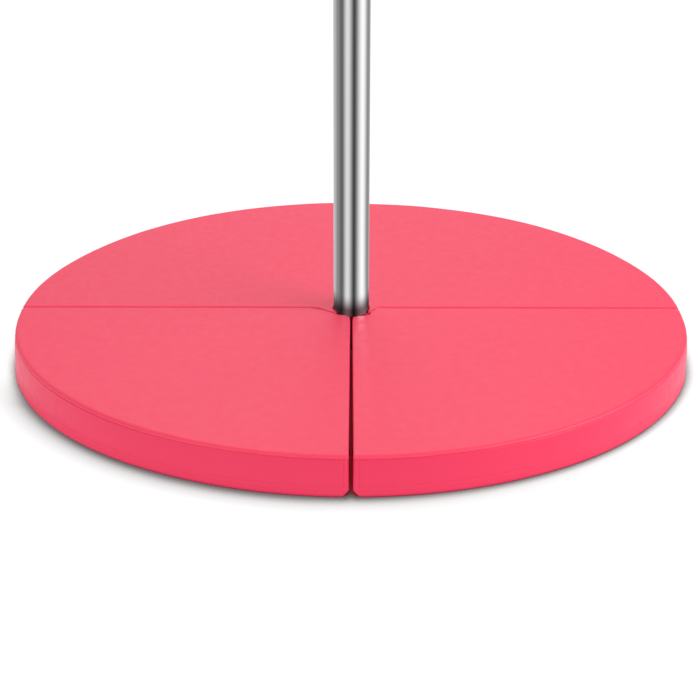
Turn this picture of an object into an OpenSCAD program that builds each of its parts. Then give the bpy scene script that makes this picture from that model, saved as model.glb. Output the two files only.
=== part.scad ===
// Round four-section folding crash mat with a floor-to-ceiling tube pole through its centre.
// The origin is on the floor at the pole's axis. +Z is up, +X is right, -Y is the side with the open slit.
// Sections: fl front left, bl back left, br back right, fr front right.

/* [Mat] */
// Diameter of the whole mat
mat_d = 1200; // [1000:10:1500]
// Thickness of the mat
mat_t = 70; // [60:1:80]
// Rounding of the rim's upper edge
edge_r = 6; // [4:0.5:6]
// Rounding of the rim's lower edge
low_edge_r = 2.5; // [2:0.5:5]
// Radius of the hole round the pole
hole_r = 34.5; // [33.5:0.5:45]
// Rounding of the edges at the hole
hole_edge_r = 3; // [2:0.5:5]
// Gap between two sections along a folding seam
fold_gap = 1.2; // [1.0:0.1:2]
// Width of the front slit at the hole
slit_hole = 3; // [3:0.5:8]
// Width of the front slit at the rim
slit_rim = 6; // [4:0.5:8]

/* [Cover] */
// Thickness of the cover sheet
cover_t = 1.2; // [0.8:0.1:1.5]
// Height of the lower seam above the floor
low_seam_z = 18; // [12:0.5:20]
// Depth of the upper seam below the top face
top_seam_drop = 6.5; // [6.5:0.5:7]
// Space between the foam and the cover
foam_play = 0.3; // [0.3:0.1:1]

/* [Zip] */
// Height of each zip's centre line
zip_z = 31; // [30:0.5:31]
// Length of each zip
zip_l = 420; // [300:10:420]
// Distance from the pole's axis to the start of each zip
zip_y = 110; // [80:5:120]
// Height of the zip's recess
zip_h = 16; // [15:0.5:17]

/* [Closure strips] */
// Height of the hook and loop strips
strip_h = 11; // [8:0.5:11]
// Thickness of each strip
strip_t = 1; // [0.6:0.1:1.1]
// Length of each strip
strip_l = 480; // [300:10:500]

/* [Pole] */
// Outside diameter of the tube
pole_d = 63.5; // [60:0.5:63.5]
// Wall of the tube
pole_wall = 1.5; // [1.2:0.1:3]
// Height from the floor to the ceiling face
ceiling_h = 2250; // [2200:10:2800]
// Height of the joint between the two tubes
joint_z = 1150; // [900:10:1200]
// Length of the joining sleeve inside the tubes
sleeve_l = 180; // [120:10:240]
// Clearance between a tube and what fits inside it
tube_fit = 0.05; // [0.02:0.01:0.1]
// Chamfer on the tubes' ends at their joint
joint_chamfer = 0.5; // [0.2:0.1:0.8]
// Distance from the joint to the set screws above and below it
set_screw_off = 45; // [30:5:50]

/* [Jack] */
// Radius of the jack screw
screw_r = 12; // [10:0.5:14]
// Length of the jack screw
screw_l = 190; // [180:5:200]
// Outside radius of the turning collar
collar_r = 27; // [24:0.5:30]
// Height of the turning collar
collar_h = 22; // [18:1:24]
// Radius of the ceiling plate
plate_r = 80; // [75:1:100]
// Thickness of the ceiling plate
plate_t = 6; // [4:0.5:8]
// Thickness of the ceiling pad
pad_t = 4; // [3:0.5:6]
// Diameter of the circle that the ceiling screws are on
bolt_pcd = 120; // [110:2:130]
// Radius of the ceiling screw holes
bolt_r = 3.5; // [2.5:0.25:4]

/* [Hidden] */
$fn = 96;
R = mat_d/2;
T = mat_t;
far = R + 60;
g = fold_gap/2;
zip_floor_rear = 5.1;
zip_floor_front = 7;
foam_in = cover_t + foam_play;
top_seam_z = T - top_seam_drop;
pr = pole_d/2;
pi_r = pr - pole_wall;
fit_r = pi_r - tube_fit;
recess_end = 4;
face_cut = 5;
tape_h = 13;
tape_t = 0.5;
teeth_h = 4;
teeth_t = 1.4;
teeth_end = 5;
slider_h = 9;
slider_l = 11;
slider_wall = 2.5;
slider_start = 40;
tab_h = 5;
tab_l = 22;
tab_t = 0.7;
fin_t = 0.5;
fin_depth = 14;
fin_in = 5;
fin_out = 10;
strip_start = 30;
strip_over_zip = 3;
foot_pad_t = 5;
foot_pad_in = 0.5;
foot_cap_t = 6;
foot_plug_l = 50;
foot_top = foot_pad_t + foot_cap_t;
sleeve_wall = 3;
set_screw_r = 4;
set_screw_l = 4.3;
set_screw_key_r = 2;
screw_hole_r = set_screw_r + 0.1;
plate_top = ceiling_h - pad_t;
plate_low = plate_top - plate_t;
boss_h = 18;
boss_wall = 9;
cap_t = 8;
socket_l = 60;
key_w = 4.8;
groove_w = 5;
groove_deep = 2.5;
screw_show = 80;
grip_r = 9;
grip_out = 6;
collar_gap = 0.1;
collar_top = plate_low - boss_h - screw_show;
collar_low = collar_top - collar_h;
tube_top = collar_low - collar_gap - cap_t;

pink = [0.96, 0.28, 0.38];
band_pink = [0.90, 0.20, 0.33];
foam_grey = [0.75, 0.75, 0.72];
steel = [0.80, 0.81, 0.83];
black = [0.08, 0.08, 0.09];

// Sub-part to draw

// half the slit's width at a distance y from the pole's axis
function slit_half(y) = (slit_hole + (slit_rim - slit_hole)*y/R)/2;

// one rounded rectangle between the hole and the rim, drawn in by i all round
module section_profile(i) {
  ro = edge_r - i;
  rl = low_edge_r - i;
  ri = max(hole_edge_r - i, 0.4);
  x0 = hole_r + i;
  x1 = R - i;
  z0 = i;
  z1 = T - i;
  translate([x0 + ri, z0]) square([x1 - x0 - ri - ro, z1 - z0]);
  translate([x0, z0 + ri]) square([x1 - x0 - ro, z1 - z0 - 2*ri]);
  translate([x1 - 2*ro, z0]) square([2*ro - rl, z1 - z0 - ro]);
  translate([x1 - ro, z0 + rl]) square([ro, z1 - z0 - ro - rl]);
  for (z = [z0 + ri, z1 - ri]) translate([x0 + ri, z]) circle(ri);
  translate([x1 - ro, z1 - ro]) circle(ro);
  translate([x1 - rl, z0 + rl]) circle(rl);
}

// plan of a left section: straight along the fold, straight or widening along the other face
module plan_left(i, front) {
  a = front ? slit_half(0) + i : g + i;
  b = front ? slit_half(far) + i : g + i;
  polygon([[-a, g + i], [-b, far], [-far, far], [-far, g + i]]);
}

// solid of a left rear section, or of a left front one before it is mirrored to the front
module section_left(i, front) {
  floor_x = (front ? zip_floor_front : zip_floor_rear) + i;
  difference() {
    intersection() {
      rotate_extrude() section_profile(i);
      translate([0, 0, -1]) linear_extrude(T + 2) plan_left(i, front);
    }
    translate([-floor_x, zip_y - recess_end - i, zip_z - zip_h/2 - i])
      cube([floor_x + face_cut, zip_l + 2*recess_end + 2*i, zip_h + 2*i]);
  }
}

module shell_left(front) {
  difference() {
    section_left(0, front);
    section_left(cover_t, front);
  }
}

module slab(z0, z1) {
  translate([-far, 0, z0]) cube([2*far, far, z1 - z0]);
}

module foam_left(front) {
  color(foam_grey) section_left(foam_in, front);
}

module top_cover_left(front) {
  color(pink) intersection() {
    shell_left(front);
    slab(top_seam_z, T + 1);
  }
}

module side_band_left(front) {
  color(band_pink) intersection() {
    shell_left(front);
    slab(low_seam_z, top_seam_z);
  }
}

module bottom_cover_left(front) {
  color(band_pink) intersection() {
    shell_left(front);
    slab(-1, low_seam_z);
  }
}

// tape and teeth, lying in the recess of the radial face
module zip_chain_left(front) {
  floor_x = front ? zip_floor_front : zip_floor_rear;
  color(black) {
    translate([-floor_x, zip_y, zip_z - tape_h/2]) cube([tape_t, zip_l, tape_h]);
    translate([-floor_x + tape_t, zip_y + teeth_end, zip_z - teeth_h/2])
      cube([teeth_t, zip_l - 2*teeth_end, teeth_h]);
  }
}

// slider over the teeth, 0.3 clear of them, with its pull tab lying along the zip
module zip_slider_left(front) {
  floor_x = front ? zip_floor_front : zip_floor_rear;
  y0 = zip_y + zip_l - slider_start;
  low_x = -floor_x + tape_t + 0.3;
  color(steel) {
    difference() {
      translate([low_x, y0, zip_z - slider_h/2]) cube([slider_wall, slider_l, slider_h]);
      translate([low_x - 0.4, y0 - 1, zip_z - teeth_h/2 - 0.3])
        cube([teeth_t + 0.4, slider_l + 2, teeth_h + 0.6]);
    }
    translate([low_x + slider_wall, y0 + 2, zip_z - tab_h/2]) cube([tab_t, tab_l, tab_h]);
  }
}

module fl_foam() mirror([0, 1, 0]) foam_left(true);
module fl_top_cover() mirror([0, 1, 0]) top_cover_left(true);
module fl_side_band() mirror([0, 1, 0]) side_band_left(true);
module fl_bottom_cover() mirror([0, 1, 0]) bottom_cover_left(true);
module fl_zip_chain() mirror([0, 1, 0]) zip_chain_left(true);
module fl_zip_slider() mirror([0, 1, 0]) zip_slider_left(true);

module bl_foam() foam_left(false);
module bl_top_cover() top_cover_left(false);
module bl_side_band() side_band_left(false);
module bl_bottom_cover() bottom_cover_left(false);
module bl_zip_chain() zip_chain_left(false);
module bl_zip_slider() zip_slider_left(false);

module br_foam() mirror([1, 0, 0]) bl_foam();
module br_top_cover() mirror([1, 0, 0]) bl_top_cover();
module br_side_band() mirror([1, 0, 0]) bl_side_band();
module br_bottom_cover() mirror([1, 0, 0]) bl_bottom_cover();
module br_zip_chain() mirror([1, 0, 0]) bl_zip_chain();
module br_zip_slider() mirror([1, 0, 0]) bl_zip_slider();

module fr_foam() mirror([1, 0, 0]) fl_foam();
module fr_top_cover() mirror([1, 0, 0]) fl_top_cover();
module fr_side_band() mirror([1, 0, 0]) fl_side_band();
module fr_bottom_cover() mirror([1, 0, 0]) fl_bottom_cover();
module fr_zip_chain() mirror([1, 0, 0]) fl_zip_chain();
module fr_zip_slider() mirror([1, 0, 0]) fl_zip_slider();

// folded seam allowance between two sections, as a thin fin under the fold line
module seam_fin(z0, z1) {
  translate([hole_r + fin_in, -fin_t/2, z0]) cube([R - hole_r - fin_in - fin_out, fin_t, z1 - z0]);
}

module right_hinge_seam() {
  color(band_pink) seam_fin(T - fin_depth, T - 0.2);
}

module left_hinge_seam() {
  mirror([1, 0, 0]) right_hinge_seam();
}

module rear_hinge_seam() {
  color(band_pink) rotate([0, 0, 90]) seam_fin(0.4, fin_depth);
}

// closure strip on the left face of the slit, between the zip recess and the upper seam
module slit_strip() {
  y0 = hole_r + strip_start;
  y1 = y0 + strip_l;
  a = slit_half(y0);
  b = slit_half(y1);
  translate([0, 0, zip_z + zip_h/2 + strip_over_zip]) linear_extrude(strip_h)
    polygon([[-a, -y0], [-b, -y1], [strip_t - b, -y1], [strip_t - a, -y0]]);
}

module hook_strip() {
  color(black) slit_strip();
}

module loop_strip() {
  color(black) mirror([1, 0, 0]) slit_strip();
}

module ring(ro, ri, z0, z1) {
  translate([0, 0, z0]) difference() {
    cylinder(h = z1 - z0, r = ro);
    translate([0, 0, -1]) cylinder(h = z1 - z0 + 2, r = ri);
  }
}

module pole_foot_pad() {
  color(black) cylinder(h = foot_pad_t, r = pr - foot_pad_in);
}

module pole_foot_plug() {
  color(black) {
    translate([0, 0, foot_pad_t]) cylinder(h = foot_cap_t, r = pr);
    translate([0, 0, foot_top - 1]) cylinder(h = foot_plug_l, r = fit_r);
  }
}

// holes for the set screws, through the tube and the sleeve
module set_screw_holes() {
  for (z = [joint_z - set_screw_off, joint_z + set_screw_off]) translate([0, 0, z])
    rotate([90, 0, 0]) cylinder(h = 2*pr + 10, r = screw_hole_r, center = true);
}

// tube of length l whose upper outside edge is chamfered
module tube(l) {
  difference() {
    union() {
      cylinder(h = l - joint_chamfer, r = pr);
      translate([0, 0, l - joint_chamfer]) cylinder(h = joint_chamfer, r1 = pr, r2 = pr - joint_chamfer);
    }
    translate([0, 0, -1]) cylinder(h = l + 2, r = pi_r);
  }
}

module pole_lower_tube() {
  color(steel) difference() {
    translate([0, 0, foot_top]) tube(joint_z - foot_top);
    set_screw_holes();
  }
}

module pole_upper_tube() {
  color(steel) difference() {
    translate([0, 0, tube_top]) mirror([0, 0, 1]) tube(tube_top - joint_z);
    set_screw_holes();
  }
}

module pole_sleeve() {
  color(steel) difference() {
    ring(fit_r, fit_r - sleeve_wall, joint_z - sleeve_l/2, joint_z + sleeve_l/2);
    set_screw_holes();
  }
}

// four socket set screws, just below the tube's surface
module pole_set_screws() {
  color(black) for (z = [joint_z - set_screw_off, joint_z + set_screw_off], s = [-1, 1])
    translate([0, s*(fit_r - sleeve_wall), z]) rotate([-s*90, 0, 0]) difference() {
      cylinder(h = set_screw_l, r = set_screw_r);
      translate([0, 0, set_screw_l/2]) cylinder(h = set_screw_l, r = set_screw_key_r);
    }
}

// end cap with the key that stops the jack screw turning
module jack_socket() {
  color(black) {
    difference() {
      union() {
        translate([0, 0, tube_top]) cylinder(h = cap_t, r = pr);
        translate([0, 0, tube_top - socket_l]) cylinder(h = socket_l + 2, r = fit_r);
      }
      translate([0, 0, tube_top - socket_l - 1]) cylinder(h = socket_l + cap_t + 2, r = screw_r + 0.1);
    }
    translate([-key_w/2, screw_r - groove_deep + 0.3, tube_top - socket_l])
      cube([key_w, groove_deep + 1.5, socket_l + cap_t]);
  }
}

module jack_collar() {
  color(steel) difference() {
    ring(collar_r, screw_r + 0.05, collar_low, collar_top);
    for (a = [0:60:300]) rotate([0, 0, a]) translate([collar_r + grip_out, 0, collar_low - 1])
      cylinder(h = collar_h + 2, r = grip_r);
  }
}

module jack_screw() {
  color(steel) translate([0, 0, plate_low - screw_l]) difference() {
    cylinder(h = screw_l, r = screw_r);
    translate([-groove_w/2, screw_r - groove_deep, -1]) cube([groove_w, 2*groove_deep, screw_l - boss_h]);
  }
}

module bolt_holes() {
  for (a = [45:90:315]) rotate([0, 0, a]) translate([bolt_pcd/2, 0, plate_low - 1])
    cylinder(h = plate_t + pad_t + 2, r = bolt_r);
}

module ceiling_plate() {
  color(steel) difference() {
    union() {
      translate([0, 0, plate_low]) cylinder(h = plate_t, r = plate_r);
      ring(screw_r + boss_wall, screw_r, plate_low - boss_h, plate_low);
    }
    bolt_holes();
  }
}

module ceiling_pad() {
  color(black) difference() {
    translate([0, 0, plate_top]) cylinder(h = pad_t, r = plate_r - 2);
    bolt_holes();
  }
}

fl_foam();
fl_top_cover();
fl_side_band();
fl_bottom_cover();
fl_zip_chain();
fl_zip_slider();
bl_foam();
bl_top_cover();
bl_side_band();
bl_bottom_cover();
bl_zip_chain();
bl_zip_slider();
br_foam();
br_top_cover();
br_side_band();
br_bottom_cover();
br_zip_chain();
br_zip_slider();
fr_foam();
fr_top_cover();
fr_side_band();
fr_bottom_cover();
fr_zip_chain();
fr_zip_slider();
left_hinge_seam();
right_hinge_seam();
rear_hinge_seam();
hook_strip();
loop_strip();
pole_foot_pad();
pole_foot_plug();
pole_lower_tube();
pole_sleeve();
pole_upper_tube();
pole_set_screws();
jack_socket();
jack_collar();
jack_screw();
ceiling_plate();
ceiling_pad();
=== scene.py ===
# A round folding pole mat in four hinged sections, with a polished tube pole through its middle.
import math
import bpy
import numpy as np
from mathutils import Euler, Matrix, Vector, kdtree


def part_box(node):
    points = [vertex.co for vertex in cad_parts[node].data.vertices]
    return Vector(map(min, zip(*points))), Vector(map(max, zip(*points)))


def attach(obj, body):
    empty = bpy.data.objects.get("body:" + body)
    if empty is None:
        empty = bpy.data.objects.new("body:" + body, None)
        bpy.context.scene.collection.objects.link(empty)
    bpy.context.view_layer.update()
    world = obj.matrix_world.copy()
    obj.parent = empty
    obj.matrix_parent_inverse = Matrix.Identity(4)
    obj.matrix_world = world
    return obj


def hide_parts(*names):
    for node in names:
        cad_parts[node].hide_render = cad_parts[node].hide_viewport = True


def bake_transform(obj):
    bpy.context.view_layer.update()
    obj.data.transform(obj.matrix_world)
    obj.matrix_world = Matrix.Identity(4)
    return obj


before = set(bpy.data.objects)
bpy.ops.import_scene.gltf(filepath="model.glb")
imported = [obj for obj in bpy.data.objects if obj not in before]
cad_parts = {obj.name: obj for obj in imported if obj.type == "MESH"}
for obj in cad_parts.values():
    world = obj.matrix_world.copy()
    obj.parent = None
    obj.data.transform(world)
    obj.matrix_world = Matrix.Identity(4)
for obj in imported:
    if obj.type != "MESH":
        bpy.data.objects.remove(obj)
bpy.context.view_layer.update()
MM = 0.001

# sizes read from the frame, in millimetres
TOP_LO, TOP_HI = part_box("fl_top_cover")
R = -TOP_LO.x / MM
T = TOP_HI.z / MM
SEAM_TOP = TOP_LO.z / MM
SEAM_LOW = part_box("fl_bottom_cover")[1].z / MM
POLE_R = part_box("pole_lower_tube")[1].x / MM
ZIP_LO, ZIP_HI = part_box("bl_zip_chain")

# the recess round the zip is longer and taller than the zip by this much at each end and side
ZIP_END_ROOM = 4
ZIP_SIDE_ROOM = 1.5
ZIP_Y0 = ZIP_LO.y / MM - ZIP_END_ROOM
ZIP_Y1 = ZIP_HI.y / MM + ZIP_END_ROOM
ZIP_Z0 = ZIP_LO.z / MM - ZIP_SIDE_ROOM
ZIP_Z1 = ZIP_HI.z / MM + ZIP_SIDE_ROOM
# height of the stitch line low on the side band
LOW_STITCH = 9.0

scene = bpy.context.scene


# ---------------------------------------------------------------- small helpers
def smooth(x, lo, hi):
    """0 below lo, 1 above hi, with a smooth step between them."""
    t = min(max((x - lo) / (hi - lo), 0.0), 1.0)
    return t * t * (3 - 2 * t)


def bell(x, width):
    """1 at 0, falling smoothly to nothing over about twice the width."""
    return math.exp(-(x / width) ** 2)


FULL_TURN = 6.2832
WAVE_COUNT = 4
# each wave's turn per seed and per wave, growth of its frequency, and start of its phase per seed
SEED_TURN, WAVE_TURN, WAVE_GROWTH, SEED_PHASE = 1.7, 2.399, 0.6, 3.1
WAVES_TO_ONE = 1.6


def waves(x, y, seed, scale):
    """A smooth wandering value of about -1 to 1, the same on every run."""
    total = 0.0
    for n in range(WAVE_COUNT):
        a = seed * SEED_TURN + n * WAVE_TURN
        f = (1 + WAVE_GROWTH * n) / scale
        along = x * math.cos(a) + y * math.sin(a)
        total += math.sin(f * along * FULL_TURN + seed * SEED_PHASE + n) / (1 + n)
    return total / WAVES_TO_ONE


def new_object(name, verts, faces, materials=(), smooth_shade=True):
    mesh = bpy.data.meshes.new(name)
    mesh.from_pydata([tuple(v) for v in verts], [], faces)
    mesh.update()
    for m in materials:
        mesh.materials.append(m)
    mesh.polygons.foreach_set("use_smooth", [smooth_shade] * len(mesh.polygons))
    obj = bpy.data.objects.new(name, mesh)
    scene.collection.objects.link(obj)
    return obj


# ---------------------------------------------------------------- materials
def shader(name, color, rough, metallic=0.0, specular=0.5):
    """A material with its node tree and its main shader."""
    m = bpy.data.materials.new(name)
    m.use_nodes = True
    nt = m.node_tree
    p = nt.nodes["Principled BSDF"]
    p.inputs["Base Color"].default_value = (*color, 1)
    p.inputs["Roughness"].default_value = rough
    p.inputs["Metallic"].default_value = metallic
    p.inputs["Specular IOR Level"].default_value = specular
    return m, nt, p


def node(nt, kind, **sets):
    """A new node, with the named inputs or properties set."""
    n = nt.nodes.new(kind)
    for k, v in sets.items():
        if k in n.inputs:
            n.inputs[k].default_value = v
        else:
            setattr(n, k.lower(), v)
    return n


def coords(nt, scale=(1, 1, 1)):
    """Object coordinates, so that a pattern moves with its piece."""
    tc = nt.nodes.new("ShaderNodeTexCoord")
    mp = nt.nodes.new("ShaderNodeMapping")
    mp.inputs["Scale"].default_value = scale
    nt.links.new(tc.outputs["Object"], mp.inputs["Vector"])
    return mp.outputs["Vector"]


def noise(nt, vector, scale, detail=2.0, rough=0.5):
    n = node(nt, "ShaderNodeTexNoise", Scale=scale, Detail=detail, Roughness=rough)
    nt.links.new(vector, n.inputs["Vector"])
    return n.outputs["Fac"]


# nearly all of a noise texture's values lie between these two
NOISE_LO, NOISE_HI = 0.3, 0.7


def remap(nt, value, from_lo, from_hi, to_lo=0.0, to_hi=1.0):
    """value, between from_lo and from_hi, brought to between to_lo and to_hi."""
    n = node(nt, "ShaderNodeMapRange")
    for key, limit in (("From Min", from_lo), ("From Max", from_hi), ("To Min", to_lo), ("To Max", to_hi)):
        n.inputs[key].default_value = limit
    nt.links.new(value, n.inputs["Value"])
    return n


def spread(nt, value, lo, hi):
    """A noise value spread over lo to hi."""
    return remap(nt, value, NOISE_LO, NOISE_HI, lo, hi).outputs["Result"]


def mixed(nt, fac, a, b):
    """Colour a where fac is 0, colour b where it is 1."""
    n = node(nt, "ShaderNodeMix", data_type="RGBA")
    n.inputs["A"].default_value = (*a, 1)
    n.inputs["B"].default_value = (*b, 1)
    nt.links.new(fac, n.inputs["Factor"])
    return n.outputs["Result"]


def bump(nt, p, layers):
    """Stack height layers, each (height, distance, strength), into the normal."""
    last = None
    for height, distance, strength in layers:
        b = node(nt, "ShaderNodeBump", Distance=distance, Strength=strength)
        nt.links.new(height, b.inputs["Height"])
        if last:
            nt.links.new(last, b.inputs["Normal"])
        last = b.outputs["Normal"]
    nt.links.new(last, p.inputs["Normal"])


def faux_leather(name, color, dark, rough, gloss):
    """Smooth coated cloth: a fine pebble grain, faint cloudiness and slow ripples."""
    m, nt, p = shader(name, color, rough, specular=gloss)
    at = coords(nt)
    cloud = noise(nt, at, scale=3.2, detail=3.0)
    fine = noise(nt, at, scale=60.0)
    darkest, smoother, rougher = 0.4, 0.035, 0.05
    nt.links.new(mixed(nt, spread(nt, cloud, 0.0, darkest), color, dark), p.inputs["Base Color"])
    nt.links.new(spread(nt, fine, rough - smoother, rough + rougher), p.inputs["Roughness"])
    cells = node(nt, "ShaderNodeTexVoronoi", Scale=780.0)
    nt.links.new(at, cells.inputs["Vector"])
    pebbles = (cells.outputs["Distance"], 0.00018, 0.16)
    pores = (noise(nt, at, scale=1500.0), 0.00010, 0.10)
    ripples = (noise(nt, at, scale=26.0), 0.0010, 0.035)
    bump(nt, p, [pebbles, pores, ripples])
    return m


TOP_RED = (0.912, 0.043, 0.110)
TOP_RED_DEEP = (0.896, 0.038, 0.103)
# painted shade: the side band is the top's cloth again, in a darker, less pink copy that stands in for the
# shade on its upright wall
SIDE_RED_SHADED = (0.815, 0.026, 0.094)
SIDE_RED_DEEP_SHADED = (0.795, 0.023, 0.088)
# painted shade: the fold gussets are the cover's cloth painted deep red, for the shade in the narrow gap at
# each fold
FOLD_RED_PAINTED_SHADE = (0.42, 0.010, 0.034)
FOLD_RED_DEEP_PAINTED_SHADE = (0.36, 0.008, 0.028)
cover_top = faux_leather("cover_top_leather", TOP_RED, TOP_RED_DEEP, rough=0.44, gloss=0.42)
fold_shade_fabric = faux_leather("fold_seam_painted_shade", FOLD_RED_PAINTED_SHADE, FOLD_RED_DEEP_PAINTED_SHADE, rough=0.75, gloss=0.15)
# the side band's material is the painted-shade copy of the top's cloth
cover_side_shaded = faux_leather("cover_side_leather_shaded", SIDE_RED_SHADED, SIDE_RED_DEEP_SHADED, rough=0.42, gloss=0.36)


FOAM_MEAN = (0.72, 0.70, 0.62)
# painted shade in the pores, at the middle of each cell
FOAM_PORE_SHADE = (0.55, 0.53, 0.46)
FOAM_WALL = (0.80, 0.78, 0.70)


def foam_material():
    """Pale foam with open cells, with painted shade darkening their middles, where the pores sink."""
    m, nt, p = shader("open_cell_foam", FOAM_MEAN, rough=0.95, specular=0.2)
    v = node(nt, "ShaderNodeTexVoronoi", Scale=650.0)
    nt.links.new(coords(nt), v.inputs["Vector"])
    cells = v.outputs["Distance"]
    nt.links.new(mixed(nt, cells, FOAM_PORE_SHADE, FOAM_WALL), p.inputs["Base Color"])
    bump(nt, p, [(cells, 0.0006, 0.6)])
    return m


def woven(name, color, light, scale, rough=0.85):
    """Two crossed bands of thread."""
    m, nt, p = shader(name, color, rough, specular=0.3)
    at = coords(nt)
    heights = []
    for axis in ("Y", "Z"):
        w = node(nt, "ShaderNodeTexWave", Scale=scale, Distortion=0.6)
        w.bands_direction = axis
        nt.links.new(at, w.inputs["Vector"])
        heights.append(w.outputs["Fac"])
    weave = node(nt, "ShaderNodeMath", operation="MULTIPLY")
    nt.links.new(heights[0], weave.inputs[0])
    nt.links.new(heights[1], weave.inputs[1])
    nt.links.new(mixed(nt, weave.outputs["Value"], color, light), p.inputs["Base Color"])
    bump(nt, p, [(weave.outputs["Value"], 0.0003, 0.5)])
    return m


def polished(name, color, rough, aniso, streak, smear):
    """Tube steel ground round its length: fine rings that stretch a reflection lengthwise."""
    m, nt, p = shader(name, color, rough, metallic=1.0)
    p.inputs["Anisotropic"].default_value = aniso
    rings = noise(nt, coords(nt, scale=(3, 3, 900)), scale=1.0, detail=3.0)
    hand = noise(nt, coords(nt, scale=(9, 9, 4)), scale=1.0, detail=4.0, rough=0.6)
    total = node(nt, "ShaderNodeMath", operation="ADD")
    nt.links.new(spread(nt, rings, rough - streak, rough + streak), total.inputs[0])
    nt.links.new(spread(nt, hand, -smear, smear), total.inputs[1])
    nt.links.new(total.outputs["Value"], p.inputs["Roughness"])
    duller = tuple(0.96 * c for c in color)
    nt.links.new(mixed(nt, hand, duller, color), p.inputs["Base Color"])
    bump(nt, p, [(rings, 0.00002, 0.25)])
    return m


def moulded(name, color, rough, grain=900.0, depth=0.0001):
    """Plastic or rubber with a fine moulded grain and slightly uneven gloss."""
    m, nt, p = shader(name, color, rough, specular=0.4)
    at = coords(nt)
    cloud = noise(nt, at, scale=40.0, detail=3.0)
    uneven = 0.06
    paler = tuple(1.25 * c + 0.01 for c in color)
    nt.links.new(spread(nt, cloud, rough - uneven, rough + uneven), p.inputs["Roughness"])
    nt.links.new(mixed(nt, cloud, color, paler), p.inputs["Base Color"])
    bump(nt, p, [(noise(nt, at, grain), depth, 0.5)])
    return m


def painted(name, color, rough):
    """Powder coat with a faint orange peel."""
    m, nt, p = shader(name, color, rough)
    at = coords(nt)
    cloud = noise(nt, at, scale=25.0, detail=3.0)
    uneven = 0.05
    darker = tuple(0.93 * c for c in color)
    nt.links.new(mixed(nt, cloud, color, darker), p.inputs["Base Color"])
    fine = noise(nt, at, scale=120.0)
    nt.links.new(spread(nt, fine, rough - uneven, rough + uneven), p.inputs["Roughness"])
    bump(nt, p, [(noise(nt, at, scale=350.0), 0.0001, 0.25)])
    return m


# bands of the wave texture that give the jack's thread its pitch
THREAD_SCALE = 39.8


def threaded(name, color):
    """Turned steel with a fine helical thread."""
    m, nt, p = shader(name, color, rough=0.3, metallic=1.0)
    w = node(nt, "ShaderNodeTexWave", Scale=THREAD_SCALE)
    w.bands_direction = "Z"
    nt.links.new(coords(nt), w.inputs["Vector"])
    fine = noise(nt, coords(nt), scale=300.0)
    nt.links.new(spread(nt, fine, 0.26, 0.36), p.inputs["Roughness"])
    bump(nt, p, [(w.outputs["Fac"], 0.0012, 0.8)])
    return m


TUBE_GREY, BRIGHT_GREY, DULL_GREY = (0.82, 0.82, 0.83), (0.78, 0.78, 0.80), (0.62, 0.62, 0.64)
STEEL = polished("pole_polished_steel", TUBE_GREY, rough=0.09, aniso=0.5, streak=0.012, smear=0.012)
COLLAR = polished("collar_steel", BRIGHT_GREY, rough=0.22, aniso=0.3, streak=0.03, smear=0.03)
BRUSHED = polished("sleeve_steel", DULL_GREY, rough=0.35, aniso=0.5, streak=0.05, smear=0.03)
SCREW = threaded("jack_thread_steel", (0.60, 0.60, 0.62))
RUBBER = moulded("pad_rubber", (0.028, 0.028, 0.03), rough=0.75, grain=500.0, depth=0.0002)
PLASTIC = moulded("plug_plastic", (0.035, 0.035, 0.04), rough=0.5)
PAINT = painted("plate_paint", (0.72, 0.72, 0.73), rough=0.4)
TAPE = woven("zip_tape_weave", (0.025, 0.025, 0.03), (0.07, 0.07, 0.08), scale=420.0)
HOOKS = woven("hook_pile", (0.02, 0.02, 0.025), (0.09, 0.09, 0.10), scale=300.0, rough=0.95)
ZIP_METAL = polished("zip_slider_metal", BRIGHT_GREY, rough=0.25, aniso=0.0, streak=0.04, smear=0.02)
FOAM = foam_material()
KEYS = ("fl", "bl", "br", "fr")

for names, material in (
    (("pole_lower_tube", "pole_upper_tube"), STEEL),
    (("jack_collar",), COLLAR),
    (("pole_sleeve", "pole_set_screws"), BRUSHED),
    (("jack_screw",), SCREW),
    (("pole_foot_pad", "ceiling_pad"), RUBBER),
    (("pole_foot_plug", "jack_socket"), PLASTIC),
    (("ceiling_plate",), PAINT),
    (("hook_strip", "loop_strip"), HOOKS),
    (tuple(k + "_zip_chain" for k in KEYS), TAPE),
    (tuple(k + "_zip_slider" for k in KEYS), ZIP_METAL),
):
    for name in names:
        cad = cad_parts[name]
        if cad.material_slots:
            for s in cad.material_slots:
                s.material = material
        else:
            cad.data.materials.append(material)


# ---------------------------------------------------------------- the shape of a section
# A section lies between the fold line (angle 0) and its other straight face (angle 90 degrees), in its own
# plan axes: a runs along the fold and b away from it. All in millimetres and degrees.

# how far the cover is cut back from the pole: (angle from the fold line, radius)
FRONT_LEFT_HOLE = ((0, 76), (20, 46), (42, 40.6), (74, 38.4), (84, 43), (90, 54))
FRONT_RIGHT_HOLE = ((0, 46), (28, 37.8), (47, 45.5), (74, 41.5), (84, 45), (90, 54))
REAR_HOLE = ((-50, POLE_R + 0.6), (90, POLE_R + 0.6))

# how the fold line swings to the front beside the pole: radius where it starts, angle, radius of its end
# and the power by which it grows
LEFT_SWING = (77.0, 43.0, 40.0, 3.6)
RIGHT_SWING = (46.0, 29.0, 37.5, 1.5)

# half of the gap at the fold lines and at the rear seam, half of the slit at the pole, and what the rim adds
FOLD_HALF_GAP = 1.0
REAR_HALF_GAP = 0.6
SLIT_HALF_GAP = 1.5
SLIT_HALF_SPREAD = 1.5

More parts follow.
